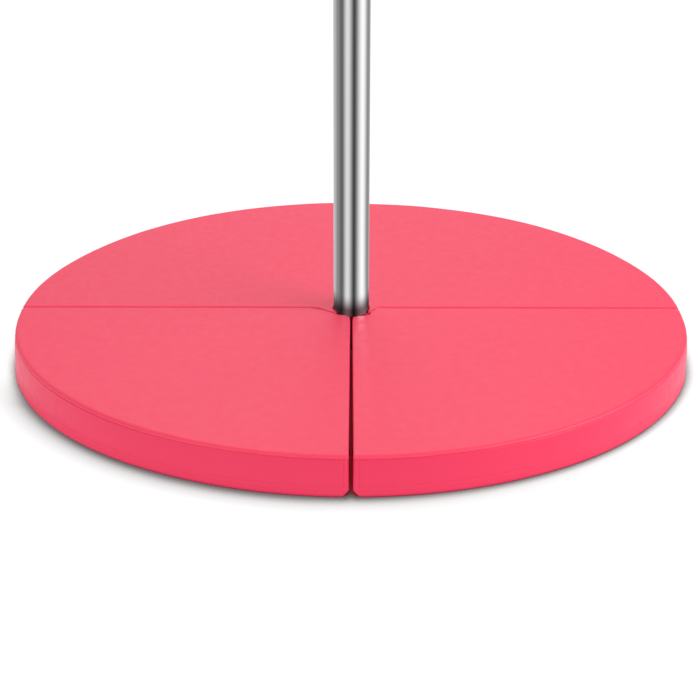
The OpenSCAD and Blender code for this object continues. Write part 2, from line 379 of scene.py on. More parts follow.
# radii of the rounded edges, and the size of the cut-off lower corner
EDGES = dict(rim_top=6.0, rim_low=2.5, fold_top=4.6, fold_low=2.6, face_low=3.5, top=6.0, low=2.5)
FRONT_EDGES = dict(EDGES, hole=4.0, face_top=2.2, corner=7.0, cut=12.0)
REAR_EDGES = dict(EDGES, hole=1.5, face_top=2.6, corner=3.0, cut=0.0)

# how far the rim is drawn in beside the fold, spread at its foot, and full at the rear seam
LEFT_RIM = (4.5, 5.0, 16.0)
RIGHT_RIM = (6.5, 3.0, 10.0)
# the angles between which the drawing in and the spread fade out, and the fullness comes in
FRONT_DRAWN_FADE, FRONT_FOOT_FADE = (0, 18), (25, 70)
REAR_DRAWN_FADE, REAR_FOOT_FADE, REAR_FULL_RISE = (20, 62), (0, 30), (25, 85)
# width of the zone inside the rim that moves with it
RIM_ZONE = 120


class Section:
    def __init__(self, key, body, sx, sy, seed):
        self.key, self.body, self.sx, self.sy, self.seed = key, body, sx, sy, seed
        self.left, self.front = sx < 0, sy < 0
        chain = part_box(key + "_zip_chain")
        self.zip_floor = -chain[0].x / MM if self.left else chain[1].x / MM
        if self.front:
            self.hole = FRONT_LEFT_HOLE if self.left else FRONT_RIGHT_HOLE
        else:
            self.hole = REAR_HOLE
        self.swing = LEFT_SWING if self.left else RIGHT_SWING
        self.edges = FRONT_EDGES if self.front else REAR_EDGES

    def inner(self, phi):
        """Radius of the cover's inner edge at an angle."""
        deg = math.degrees(phi)
        if deg <= self.hole[0][0]:
            return self.hole[0][1]
        for (a0, r0), (a1, r1) in zip(self.hole, self.hole[1:]):
            if deg <= a1:
                return r0 + (r1 - r0) * smooth(deg, a0, a1)
        return self.hole[-1][1]

    def fold_angle(self, r):
        """Angle of the fold's edge at radius r, with the swing beside the pole on both of its sides."""
        start, deg, end, power = self.swing
        turn = math.radians(deg) * min((start - r) / (start - end), 1.0) ** power if r < start else 0.0
        straight = math.asin(min(FOLD_HALF_GAP / r, 1))
        return straight + turn if self.front else straight - turn

    def face_angle(self, r):
        """Angle of the other straight face at radius r."""
        half = SLIT_HALF_GAP + SLIT_HALF_SPREAD * r / R if self.front else REAR_HALF_GAP
        return math.pi / 2 - math.asin(min(half / r, 1))

    def rim_shift(self, deg, z):
        """How far the soft rim is off the true circle.

        It is in beside the fold, and out at its foot and at the rear seam."""
        draw, foot, rear = LEFT_RIM if self.left else RIGHT_RIM
        drawn_fade = FRONT_DRAWN_FADE if self.front else REAR_DRAWN_FADE
        foot_fade = FRONT_FOOT_FADE if self.front else REAR_FOOT_FADE
        drawn, spread_out = 1 - smooth(deg, *drawn_fade), 1 - smooth(deg, *foot_fade)
        full = 0 if self.front else smooth(deg, *REAR_FULL_RISE)
        return foot * spread_out * (1 - z / T) - draw * drawn + rear * full

    def place(self, r, phi, z):
        """The point at a radius, angle and height, in metres."""
        r += self.rim_shift(math.degrees(phi), z) * smooth(r, R - RIM_ZONE, R)
        return (self.sx * r * math.cos(phi) * MM, self.sy * r * math.sin(phi) * MM, z * MM)


# where the fine surface is sampled, in millimetres: in from the hole and the rim, by radius, in from the
# straight faces, and by height
FILLET = (0.0, 0.199, 0.414, 0.668, 1.0)
HOLE_FILLET, RIM_FILLET = 4.0, 6.0
HOLE_RADII = [84, 94, 104.5, 106.6]
FLAT_FROM, FLAT_TO = 108, 532
RIM_RADII = [533.4, 535.5, 545, 556, 567, 576, 584, 589]
FACE_STEPS = [0.0, 0.6, 1.3, 2.1, 3.0, 4.2, 5.4, 6.8, 7.8, 8.5, 9.2, 10.2, 12.0, 14.5, 19.0]
FOOT_HEIGHTS = [0.0, 0.5, 1.1, 1.8, 2.5, 4.0, 5.8]
STITCH_STEPS = (-1.6, -0.7, 0.0, 0.7, 1.6, 3.6)
LOW_SEAM_STEPS = (-3.2, -1.7, -0.8, 0.0, 0.8, 1.7, 3.2)
TOP_SEAM_STEPS = (-4.4, -2.9, -1.7, -0.8, 0.0, 0.8)
# rows just outside and inside the zip recess's edges, and how far below the top seam the plain rows end
ZIP_ROW_OUT, ZIP_ROW_IN, BAND_END = 0.3, 0.5, 6
BAND_ROWS, TOP_ROWS = 5, 6
FINE_WIDTH = 900
FINE_MID = 6

# the same for the coarse surface of the cloth and the foam
COARSE_HOLE, COARSE_RIM = [0.0, 2.0, 4.0], [7.0, 3.5, 0.0]
COARSE_FROM, COARSE_TO = 90, 585
COARSE_FACE_STEPS = [0.0, 3.0, 8.0, 16.0]
COARSE_FOOT, COARSE_TOP_EDGE = [0.0, 2.5, 9.0], 3.0
COARSE_WIDTH = 760
COARSE_MID = 3

# radius of the foam's hole
CORE_IN = 80.0
# stands for a distance that doesn't matter
FAR = 1e9


def grid_lists(step, fine):
    """Radii, lateral offsets from each straight face, and heights, at which the surface is sampled."""
    if fine:
        near = [HOLE_FILLET * (1 - t) for t in reversed(FILLET)]
        rim = [RIM_FILLET * (1 - t) for t in FILLET]
        n = round((FLAT_TO - FLAT_FROM) / step)
        radii = HOLE_RADII + [FLAT_FROM + (FLAT_TO - FLAT_FROM) * i / n for i in range(n + 1)] + RIM_RADII
        side = FACE_STEPS
        z = FOOT_HEIGHTS + [LOW_STITCH + d for d in STITCH_STEPS]
        z += [SEAM_LOW + d for d in LOW_SEAM_STEPS]
        z += [ZIP_Z0 - ZIP_ROW_OUT, ZIP_Z0 + ZIP_ROW_IN]
        z += [ZIP_Z0 + (ZIP_Z1 - ZIP_Z0) * n / BAND_ROWS for n in range(1, BAND_ROWS)]
        z += [ZIP_Z1 - ZIP_ROW_IN, ZIP_Z1 + ZIP_ROW_OUT]
        z += [ZIP_Z1 + (SEAM_TOP - BAND_END - ZIP_Z1) * n / BAND_ROWS for n in range(1, BAND_ROWS + 1)]
        z += [SEAM_TOP + d for d in TOP_SEAM_STEPS] + [T - TOP_ROWS + 1 + n for n in range(TOP_ROWS)]
        return near, radii, rim, side, round(FINE_WIDTH / step), z, FINE_MID
    n = round((COARSE_TO - COARSE_FROM) / step)
    radii = [COARSE_FROM + (COARSE_TO - COARSE_FROM) * i / n for i in range(n + 1)]
    z = COARSE_FOOT + [SEAM_LOW + (SEAM_TOP - SEAM_LOW) * n / BAND_ROWS for n in range(BAND_ROWS + 1)]
    z += [T - COARSE_TOP_EDGE, T]
    return COARSE_HOLE, radii, COARSE_RIM, COARSE_FACE_STEPS, round(COARSE_WIDTH / step), z, COARSE_MID


# heights between which an edge goes from its lower radius to its upper one
EDGE_RISE = (10, 46)
# distances from the rim, and from the top, over which the slit's outer corner gets its larger radius
CORNER_OUT, CORNER_DOWN = (3, 18), (2, 9)
# distances inside the rim over which the lower corner's cut runs out
CUT_FROM, CUT_TO = 34, 20
# an edge takes at most this share of the section's width
EDGE_SHARE = 0.4
MIN_EDGE = 1.0
# the foam is drawn in less at its top and underside than at its sides
FLAT_SHARE = 0.6
# the rounds in which a point's angle and radius are settled
ROUNDS = 3

# the top line runs this far above the CAD seam, and the low one wanders this much about its own
TOP_LINE_OVER, LOW_LINE_WANDER = 0.3, 0.3
# sewn lines on the side band: depth and width
TOP_GROOVE, LOW_GROOVE, STITCH_GROOVE = (1.10, 0.85), (0.40, 0.8), (0.30, 0.7)
# lips beside them: height, distance from the line and width
TOP_LIP_OVER, TOP_LIP_UNDER = (0.50, 3.0, 2.0), (0.26, 2.6, 1.6)
LOW_LIP_UNDER, LOW_LIP_OVER = (0.20, 3.0, 2.2), (0.14, 2.4, 1.6)
BAND_BELLY = 0.8
# the side band's end seam: depth, distance from the slit, width, and how far from the slit it is looked for
END_SEAM, END_SEAM_AT, END_SEAM_WIDTH, END_SEAM_NEAR = 1.0, 8.5, 0.8, 40
# the skin lies this far inside its nominal place on the rim, the straight faces and the top
RIM_SINK, FACE_SINK, TOP_SINK, TOP_EDGE_SINK = 0.5, 0.12, 0.22, 0.15
# the top falls to its edge over this zone inside the rim
TOP_FALL_FROM, TOP_FALL_TO = 70, 6
# share of the sewn lines' depth on the straight faces
FACE_GROOVE = 0.6
ZIP_SKIN = 0.12


def sewn_wall(s, arc, z):
    """Depth of the sewn lines and height of the lips and belly of the side band, at a height."""
    wander = 0.45 * waves(arc, 0, s.seed, 47.0) + 0.25 * waves(arc, 0, s.seed + 3, 19.0)
    top_line = SEAM_TOP + TOP_LINE_OVER + wander
    low_line = SEAM_LOW + LOW_LINE_WANDER * waves(arc, 9, s.seed + 5, 60.0)
    depth, width = TOP_GROOVE
    groove = -depth * bell(z - top_line, width)
    depth, width = LOW_GROOVE
    groove -= depth * bell(z - low_line, width)
    depth, width = STITCH_GROOVE
    groove -= depth * bell(z - LOW_STITCH, width)
    size, off, width = TOP_LIP_OVER
    lips = size * bell(z - top_line - off, width) * (1 + 0.5 * waves(arc, 4, s.seed + 7, 24.0))
    size, off, width = TOP_LIP_UNDER
    lips += size * bell(z - top_line + off, width)
    size, off, width = LOW_LIP_UNDER
    lips += size * bell(z - low_line + off, width)
    size, off, width = LOW_LIP_OVER
    lips += size * bell(z - low_line - off, width)
    belly = BAND_BELLY * math.sin(math.pi * min(max((z - SEAM_LOW) / (SEAM_TOP - SEAM_LOW), 0), 1))
    belly *= 1 + 0.35 * waves(arc, 2, s.seed + 11, 120.0)
    return groove, lips, belly


def section_surface(s, fine=True, step=11.0, inset=0.0, seams=True):
    """Vertices, faces and notes of one closed section, as a box whose edges are rounded.

    inset draws everything in, for the foam. seams adds the sewn lines, their lips and the zip's recess."""
    near, radii, rim, side, across, zs, mid_count = grid_lists(step, fine)
    e = s.edges
    nu0, nr, nu1 = len(near), len(radii), len(rim)
    nu = nu0 + mid_count + nr + nu1
    ns = len(side)
    nv = 2 * ns + across
    nw = len(zs)
    index, verts, notes = {}, [], []

    def point(i, j, k):
        z = zs[k]

        def radius(phi):
            """Radius of this column, and its distances from the hole and from the rim."""
            r0 = CORE_IN if inset else s.inner(phi)
            if i < nu0:
                return r0 + near[i], near[i], FAR
            if i < nu0 + mid_count:
                t = (i - nu0 + 1) / (mid_count + 1)
                return r0 + HOLE_FILLET + (radii[0] - r0 - HOLE_FILLET) * t, FAR, FAR
            if i < nu0 + mid_count + nr:
                return radii[i - nu0 - mid_count], FAR, FAR
            d = rim[i - nu0 - mid_count - nr]
            return R - inset - d, FAR, d

        # the angle depends on the radius and the other way round, so they are settled in a few rounds
        face_in = (s.zip_floor + inset) if inset else 0.0
        phi = math.pi / 4
        for _ in range(ROUNDS):
            r, du0, du1 = radius(phi)
            f0 = s.fold_angle(r) + inset / r
            f1 = s.face_angle(r) - face_in / r
            length = r * (f1 - f0)
            if j < ns:
                dv0, dv1 = side[j], FAR
                phi = f0 + min(dv0, length * EDGE_SHARE) / r
            elif j >= ns + across:
                dv0, dv1 = FAR, side[nv - 1 - j]
                phi = f1 - min(dv1, length * EDGE_SHARE) / r
            else:
                t = (j - ns + 1) / (across + 1)
                dv0 = dv1 = FAR
                edge = min(side[-1], length * EDGE_SHARE) / r
                lo, hi = f0 + edge, f1 - edge
                phi = lo + (hi - lo) * t
        r, du0, du1 = radius(phi)
        dw0, dw1 = z, T - z
        # distances become a direction on the rounded edge
        h = smooth(z, *EDGE_RISE)
        ru = e["hole"] if du0 < du1 else e["rim_low"] + (e["rim_top"] - e["rim_low"]) * h
        if dv0 < dv1:
            rv = e["fold_low"] + (e["fold_top"] - e["fold_low"]) * h
        else:
            rv = e["face_low"] + (e["face_top"] - e["face_low"]) * h
            rv += (e["corner"] - rv) * (1 - smooth(R - r, *CORNER_OUT)) * smooth(T - z, *CORNER_DOWN)
        rw = e["low"] if dw0 < dw1 else e["top"]
        ru, rv, rw = (max(c - inset, MIN_EDGE) for c in (ru, rv, rw))
        du, dv, dw = min(du0, du1), min(dv0, dv1), min(dw0, dw1)
        if i == 0 or i == nu - 1:
            du = 0.0
        if j == 0 or j == nv - 1:
            dv = 0.0
        if k == 0 or k == nw - 1:
            dw = 0.0
        eu, ev, ew = max(0.0, 1 - du / ru), max(0.0, 1 - dv / rv), max(0.0, 1 - dw / rw)
        size = math.sqrt(eu * eu + ev * ev + ew * ew)
        peak = max(eu, ev, ew)
        if size > 0:
            eu, ev, ew = (c / size * min(peak, 1.0) for c in (eu, ev, ew))
        if du < FAR and eu > 0:
            du = ru * (1 - eu)
        if dv < FAR and ev > 0:
            dv = rv * (1 - ev)
        if ew > 0:
            dw = rw * (1 - ew)
        z = dw if dw0 < dw1 else T - dw
        if inset:
            z = min(max(z, inset * FLAT_SHARE), T - inset * FLAT_SHARE)
        # sewn lines, lips and slow ripples, along the surface's own direction
        push = 0.0
        if seams:
            groove, lips, belly = sewn_wall(s, r * phi, z)
            if eu > 0 and du1 < du0:
                push += eu * (groove + lips + belly - RIM_SINK)
                # end seam of the side band, just round the corner from the slit
                if s.front and dv1 < END_SEAM_NEAR and SEAM_LOW < z < SEAM_TOP and j >= ns + across:
                    push -= END_SEAM * eu * bell(dv1 - END_SEAM_AT, END_SEAM_WIDTH)
            if ev > 0 and eu < 0.5:
                push += ev * (FACE_GROOVE * groove - FACE_SINK)
            if ew > 0.5:
                a, b = r * math.cos(phi), r * math.sin(phi)
                rise = 0.16 * waves(a, b, s.seed + 13, 170.0) + 0.07 * waves(a, b, s.seed + 17, 55.0)
                if dw1 < dw0:
                    fall = smooth(r, R - TOP_FALL_FROM, R - TOP_FALL_TO)
                    push += ew * (rise - TOP_SINK - TOP_EDGE_SINK * fall)
        if du < FAR:
            if du1 < du0:
                r = R - inset - du + push * eu
            else:
                r = (CORE_IN if inset else s.inner(phi)) + du - push * eu
        if dv < FAR:
            f0 = s.fold_angle(r) + inset / r
            f1 = s.face_angle(r) - face_in / r
            length = r * (f1 - f0)
            d = min(dv, length * EDGE_SHARE) - push * ev
            phi = f0 + d / r if dv0 < dv1 else f1 - d / r
        if ew > 0:
            z = z + push * ew if dw0 >= dw1 else z - push * ew
        # the cut-off lower corner beside the slit
        cut = e["cut"] * smooth(r, R - CUT_FROM, R - CUT_TO)
        beside = r * (s.face_angle(r) - phi)
        if not inset and beside + z < cut:
            lift = (cut - beside - z) / 2
            z += lift
            phi -= lift / r
        # the zip's recess in the other straight face
        if seams and j == nv - 1 and ZIP_Z0 < zs[k] < ZIP_Z1 and ZIP_Y0 < r < ZIP_Y1:
            phi = math.pi / 2 - math.asin((s.zip_floor + ZIP_SKIN) / r)
        return s.place(r, phi, max(z, 0.0))

    def vid(i, j, k):
        key = (i, j, k)
        if key not in index:
            index[key] = len(verts)
            verts.append(point(i, j, k))
            notes.append(key)
        return index[key]

    faces = []

    def patch(na, nb, at, flip):
        for p in range(na - 1):
            for q in range(nb - 1):
                f = [vid(*at(p, q)), vid(*at(p + 1, q)), vid(*at(p + 1, q + 1)), vid(*at(p, q + 1))]
                faces.append(f[::-1] if flip else f)

    turn = s.sx * s.sy < 0
    patch(nu, nv, lambda p, q: (p, q, nw - 1), turn)
    patch(nu, nv, lambda p, q: (p, q, 0), not turn)
    patch(nv, nw, lambda p, q: (nu - 1, p, q), turn)
    patch(nv, nw, lambda p, q: (0, p, q), not turn)
    patch(nu, nw, lambda p, q: (p, 0, q), turn)
    patch(nu, nw, lambda p, q: (p, nv - 1, q), not turn)
    return verts, faces, notes, (nu, nv, nw)


SECTIONS = [
    Section("fl", "front_left", -1, -1, seed=1.0),
    Section("bl", "back_left", -1, 1, seed=2.3),
    Section("br", "back_right", 1, 1, seed=3.9),
    Section("fr", "front_right", 1, -1, seed=5.2),
]

CLOTH_STEP = 12.0
CLOTH_FRAMES = 20
# share of each point's place that is held: deep in the top, at the top's edge, and on the straight faces
HOLD_TOP, HOLD_TOP_EDGE, HOLD_FACE = 0.93, 0.6, 0.9
# width over which the hold on the top rises from its edge, and how near to a seam a row is held
HOLD_RISE, SEAM_NEAR = 35, 0.6
TINY = 1e-9
# the cover moves at most this far
MOST_SWELL = 2.2


def swell(s):
    """How a section's cover moves when it is slightly blown up between its seams, by cloth simulation."""
    verts, faces, notes, (nu, _, nw) = section_surface(s, fine=False, step=CLOTH_STEP, seams=False)
    obj = new_object("swell_" + s.key, verts, faces)
    pins = obj.vertex_groups.new(name="pins")
    for n, (i, _, k) in enumerate(notes):
        x, y, z = (c / MM for c in verts[n])
        if k == 0:
            hold = 1.0
        elif k == nw - 1:
            from_edge = min(R - math.hypot(x, y), abs(x), abs(y))
            rise = min(max(from_edge, 0) / HOLD_RISE, 1)
            hold = HOLD_TOP_EDGE + (HOLD_TOP - HOLD_TOP_EDGE) * rise
        elif abs(z - SEAM_LOW) < SEAM_NEAR or abs(z - SEAM_TOP) < SEAM_NEAR:
            hold = 1.0
        else:
            hold = 0.0 if i == nu - 1 else HOLD_FACE
        pins.add([n], hold, "REPLACE")
    mod = obj.modifiers.new("Cloth", "CLOTH")
    c = mod.settings
    c.quality = 6
    c.mass = 0.35
    c.tension_stiffness = c.compression_stiffness = 30
    c.shear_stiffness = 8
    c.bending_stiffness = 2.5
    c.use_pressure = True
    c.uniform_pressure_force = 4.0
    c.effector_weights.gravity = 0
    c.vertex_group_mass = "pins"
    c.pin_stiffness = 1.0
    mod.collision_settings.use_collision = False
    for f in range(1, CLOTH_FRAMES + 1):
        scene.frame_set(f)
    done = obj.evaluated_get(bpy.context.evaluated_depsgraph_get())
    moved = np.array([v.co for v in done.data.vertices]) - np.array(verts)
    size = np.linalg.norm(moved, axis=1, keepdims=True)
    moved *= np.minimum(1.0, MOST_SWELL * MM / np.maximum(size, TINY))
    tree = kdtree.KDTree(len(verts))
    for n, v in enumerate(verts):
        tree.insert(v, n)
    tree.balance()
    bpy.data.objects.remove(obj)
    scene.frame_set(1)
    return tree, moved


# the cloth points that a fine point follows, and the distance in metres that evens out their shares
FOLLOWED, EVEN_OUT = 5, 0.004
# the top doesn't rise above its nominal height by more than this
TOP_ROOM = 0.05
# points this close to the top don't rise at all
NEAR_TOP = 0.5


def add_swell(verts, notes, shape, tree, moved):
    """The fine surface, moved as the nearest points of the cloth moved.

    The underside and the straight faces stay."""
    _, nv, nw = shape
    out = []
    for (_, j, k), v in zip(notes, verts):
        near = tree.find_n(v, FOLLOWED)
        w = np.array([1.0 / (d + EVEN_OUT) ** 2 for _, _, d in near])
        d = (w[:, None] * moved[[n for _, n, _ in near]]).sum(0) / w.sum()
        if k == nw - 1 and v[2] > (T - NEAR_TOP) * MM:
            d[2] = min(d[2], 0.0)
        if k == 0 or j in (0, nv - 1):
            d[:] = 0
        q = np.array(v) + d
        q[2] = min(max(q[2], 0.0), (T + TOP_ROOM) * MM)
        out.append(q)
    return out


# the side slot takes the painted-shade copy of the top's cloth
TOP_SLOT, SIDE_SLOT = 0, 1
# the top's material comes down to this height
TOP_DOWN_TO = SEAM_TOP + 0.4
FOAM_INSET, FOAM_STEP = 3.0, 24.0


for s in SECTIONS:
    verts, faces, notes, shape = section_surface(s)
    tree, moved = swell(s)
    verts = add_swell(verts, notes, shape, tree, moved)
    obj = new_object("padded_section_" + s.body, verts, faces, (cover_top, cover_side_shaded))
    co = np.array(verts)
    slots = [TOP_SLOT if co[f, 2].mean() / MM > TOP_DOWN_TO else SIDE_SLOT for f in faces]
    obj.data.polygons.foreach_set("material_index", slots)
    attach(obj, s.body)
    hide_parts(s.key + "_top_cover", s.key + "_side_band", s.key + "_bottom_cover")
    verts, faces, _, _ = section_surface(s, fine=False, step=FOAM_STEP, inset=FOAM_INSET, seams=False)
    core = new_object("foam_core_" + s.body, verts, faces, (FOAM,))
    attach(core, s.body)
    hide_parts(s.key + "_foam")


# ---------------------------------------------------------------- fold gussets
# half of a gusset's section: distance from the hinge line, and height from the face it lies in. Its lips are
# buried in the covers and its middle dips into the gap.
LOW_GUSSET = [(0.0, 4.5), (0.25, 4.0), (0.7, 2.6), (2.2, 2.2)]
TOP_GUSSET = [(0.0, -6.0), (0.3, -5.4), (0.8, -3.6), (2.5, -3.2)]
GUSSET_THICK = 0.5
GUSSET_ROWS = 60


def gusset(name, along, low, start, end, cad):
    """A narrow strip of cover sewn into the fold, dipping into the gap."""
    half = LOW_GUSSET if low else TOP_GUSSET
    shape = [(-c, h) for c, h in reversed(half[1:])] + half
    base, thick = (0.0, GUSSET_THICK) if low else (T, -GUSSET_THICK)
    profile = [(c, base + h) for c, h in shape] + [(c, base + h + thick) for c, h in reversed(shape)]
    n = GUSSET_ROWS
    verts, faces = [], []
    for i in range(n + 1):
        t = start + (end - start) * i / n
        wander = 0.06 * math.sin(t * 0.21) + 0.04 * math.sin(t * 0.57 + 1)
        for c, h in profile:
            across = c + wander
            x, y = (t, across) if along == "x" else (across, t)
            verts.append((x * MM, y * MM, h * MM))
    m = len(profile)
    flip = (along == "x") != (end < start) != low
    for i in range(n):
        for k in range(m):
            f = [i * m + k, i * m + (k + 1) % m, (i + 1) * m + (k + 1) % m, (i + 1) * m + k]
            faces.append(f[::-1] if flip else f)
    cap0, cap1 = list(range(m)), [n * m + k for k in range(m)]
    faces.append(cap0 if flip else cap0[::-1])
    faces.append(cap1[::-1] if flip else cap1)
    # the gusset wears the cover's cloth painted dark, as painted shade in the fold's gap
    obj = new_object(name, verts, faces, (fold_shade_fabric,))
    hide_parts(cad)
    return obj


# each gusset's ends, beside the pole and inside the rim
LEFT_ENDS = (-(R - 13), -70)
RIGHT_ENDS = (46, R - 15)
REAR_ENDS = (40, R + 1)
left_gusset = gusset("fold_gusset_left", "x", False, *LEFT_ENDS, "left_hinge_seam")
right_gusset = gusset("fold_gusset_right", "x", False, *RIGHT_ENDS, "right_hinge_seam")
rear_gusset = gusset("fold_gusset_rear", "y", True, *REAR_ENDS, "rear_hinge_seam")
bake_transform(left_gusset)
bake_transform(right_gusset)
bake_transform(rear_gusset)


# ---------------------------------------------------------------- studio
FLOOR_HALF = 14.0
FLOOR_WHITE, FLOOR_WHITER = (0.80, 0.80, 0.80), (0.82, 0.82, 0.82)
# reach of the painted contact shadow, in metres
SHADOW_REACH = 0.058
# painted shadow on the floor by how open it is: deep in the slit the red of the walls, as painted shade and
# bounce, then greys
SLIT_PAINTED_SHADE, SLIT_PAINTED_SHADE_AT = (0.13, 0.001, 0.004), 0.12
SLIT_FOOT_PAINTED_SHADE, SLIT_FOOT_AT = (0.08, 0.07, 0.07), 0.22
PAINTED_SHADOW_GREYS = (
    (0.36, 0.12), (0.50, 0.05), (0.54, 0.07), (0.61, 0.26), (0.67, 0.47),
    (0.74, 0.66), (0.80, 0.78), (0.92, 0.90),
)
# where the painted shadow is lifted: to the right, to the back, and only where the floor is open this much
LIFT_X, LIFT_Y, LIFT_OPEN = (-0.1, 0.5), (-0.27, -0.15), (0.50, 0.68)
FLOOR_GLOW = 1.10
FLOOR_OWN_SHARE = 0.86


def stage_plane():
    """A pale floor: part of its light is its own, and that emission is darkened by ambient occlusion into a
    painted contact shadow, neutral and soft.

    The painted shadow is lifted by place towards the right and the back, so that at the mat's edge it is
    darkest on the left, as under the key light from the right, and deep in the slit the floor is painted the
    red of the walls beside it, as painted shade and bounce."""
    corners = [(x * FLOOR_HALF, y * FLOOR_HALF, 0) for x, y in ((-1, -1), (1, -1), (1, 1), (-1, 1))]
    obj = new_object("studio_floor", corners, [[0, 1, 2, 3]], smooth_shade=False)
    m, nt, p = shader("studio_floor_painted_shadow", FLOOR_WHITE, rough=0.9, specular=0.0)
    at = coords(nt)
    nt.links.new(mixed(nt, noise(nt, at, scale=1.5), FLOOR_WHITE, FLOOR_WHITER), p.inputs["Base Color"])
    # ambient occlusion darkens the floor's own light into a painted contact shadow
    near = node(nt, "ShaderNodeAmbientOcclusion", Distance=SHADOW_REACH)
    near.samples = 16
    painted_shadow_ramp = nt.nodes.new("ShaderNodeValToRGB")
    els = painted_shadow_ramp.color_ramp.elements
    els[0].position, els[0].color = SLIT_PAINTED_SHADE_AT, (*SLIT_PAINTED_SHADE, 1)
    els[1].position, els[1].color = 1.0, (1, 1, 1, 1)
    els.new(SLIT_FOOT_AT).color = (*SLIT_FOOT_PAINTED_SHADE, 1)
    for openness, grey in PAINTED_SHADOW_GREYS:
        els.new(openness).color = (grey, grey, grey, 1)
    nt.links.new(near.outputs["AO"], painted_shadow_ramp.inputs["Fac"])
    place = nt.nodes.new("ShaderNodeSeparateXYZ")
    nt.links.new(at, place.inputs["Vector"])
    side = remap(nt, place.outputs["X"], *LIFT_X)
    back = remap(nt, place.outputs["Y"], *LIFT_Y)
    open_floor = remap(nt, near.outputs["AO"], *LIFT_OPEN)
    most = node(nt, "ShaderNodeMath", operation="MAXIMUM")
    nt.links.new(side.outputs["Result"], most.inputs[0])
    nt.links.new(back.outputs["Result"], most.inputs[1])
    lift = node(nt, "ShaderNodeMath", operation="MULTIPLY")
    nt.links.new(most.outputs["Value"], lift.inputs[0])
    nt.links.new(open_floor.outputs["Result"], lift.inputs[1])
    shade = node(nt, "ShaderNodeMix", data_type="RGBA")
    nt.links.new(lift.outputs["Value"], shade.inputs["Factor"])
    nt.links.new(painted_shadow_ramp.outputs["Color"], shade.inputs["A"])
    shade.inputs["B"].default_value = (1, 1, 1, 1)
    glow = node(nt, "ShaderNodeEmission", Strength=FLOOR_GLOW)
    nt.links.new(shade.outputs["Result"], glow.inputs["Color"])
    mix = nt.nodes.new("ShaderNodeMixShader")
    mix.inputs[0].default_value = FLOOR_OWN_SHARE
    out = [n for n in nt.nodes if n.type == "OUTPUT_MATERIAL"][0]
    nt.links.new(p.outputs[0], mix.inputs[1])
    nt.links.new(glow.outputs[0], mix.inputs[2])
    nt.links.new(mix.outputs[0], out.inputs["Surface"])
    obj.data.materials.append(m)


stage_plane()

# what the polished tube mirrors: brightness by direction round the pole, in degrees to the right of the front
PANELS = (
    (-180, 0.80), (-124, 0.56), (-100, 0.32), (-63, 0.14), (-26, 0.90),
    (16, 0.06), (72, 1.22), (120, 0.30), (150, 0.44), (180, 0.80),
)
# painted reflection: tint of the low panels beside the pole, which the pole mirrors in place of the hole's
# dark walls
HOLE_PAINTED_REFLECTION = (0.20, 0.11, 0.12)


def one_sided(nt, em):
    """Light from the front of each face, and nothing from its back."""
    clear = nt.nodes.new("ShaderNodeBsdfTransparent")
    geo = nt.nodes.new("ShaderNodeNewGeometry")
    mix = nt.nodes.new("ShaderNodeMixShader")
    out = nt.nodes.new("ShaderNodeOutputMaterial")
    nt.links.new(geo.outputs["Backfacing"], mix.inputs[0])
    nt.links.new(em.outputs[0], mix.inputs[1])
    nt.links.new(clear.outputs[0], mix.inputs[2])
    nt.links.new(mix.outputs[0], out.inputs["Surface"])


def light_only(obj, m, hidden):
    """Gives obj its material and hides it from the named kinds of ray."""
    obj.data.materials.append(m)
    for ray in hidden:
        setattr(obj, "visible_" + ray, False)


def empty_material(name):
    """A material with an empty node tree, and that tree."""
    m = bpy.data.materials.new(name)
    m.use_nodes = True
    m.node_tree.nodes.clear()
    return m, m.node_tree


def ring_points(count):
    """Points of the unit circle."""
    return [(math.cos(2 * math.pi * i / count), math.sin(2 * math.pi * i / count)) for i in range(count)]


def ring_faces(count, first=0):
    """Faces between one ring of points and the next."""
    return [[first + i, first + count + i, first + count + (i + 1) % count, first + (i + 1) % count]
            for i in range(count)]


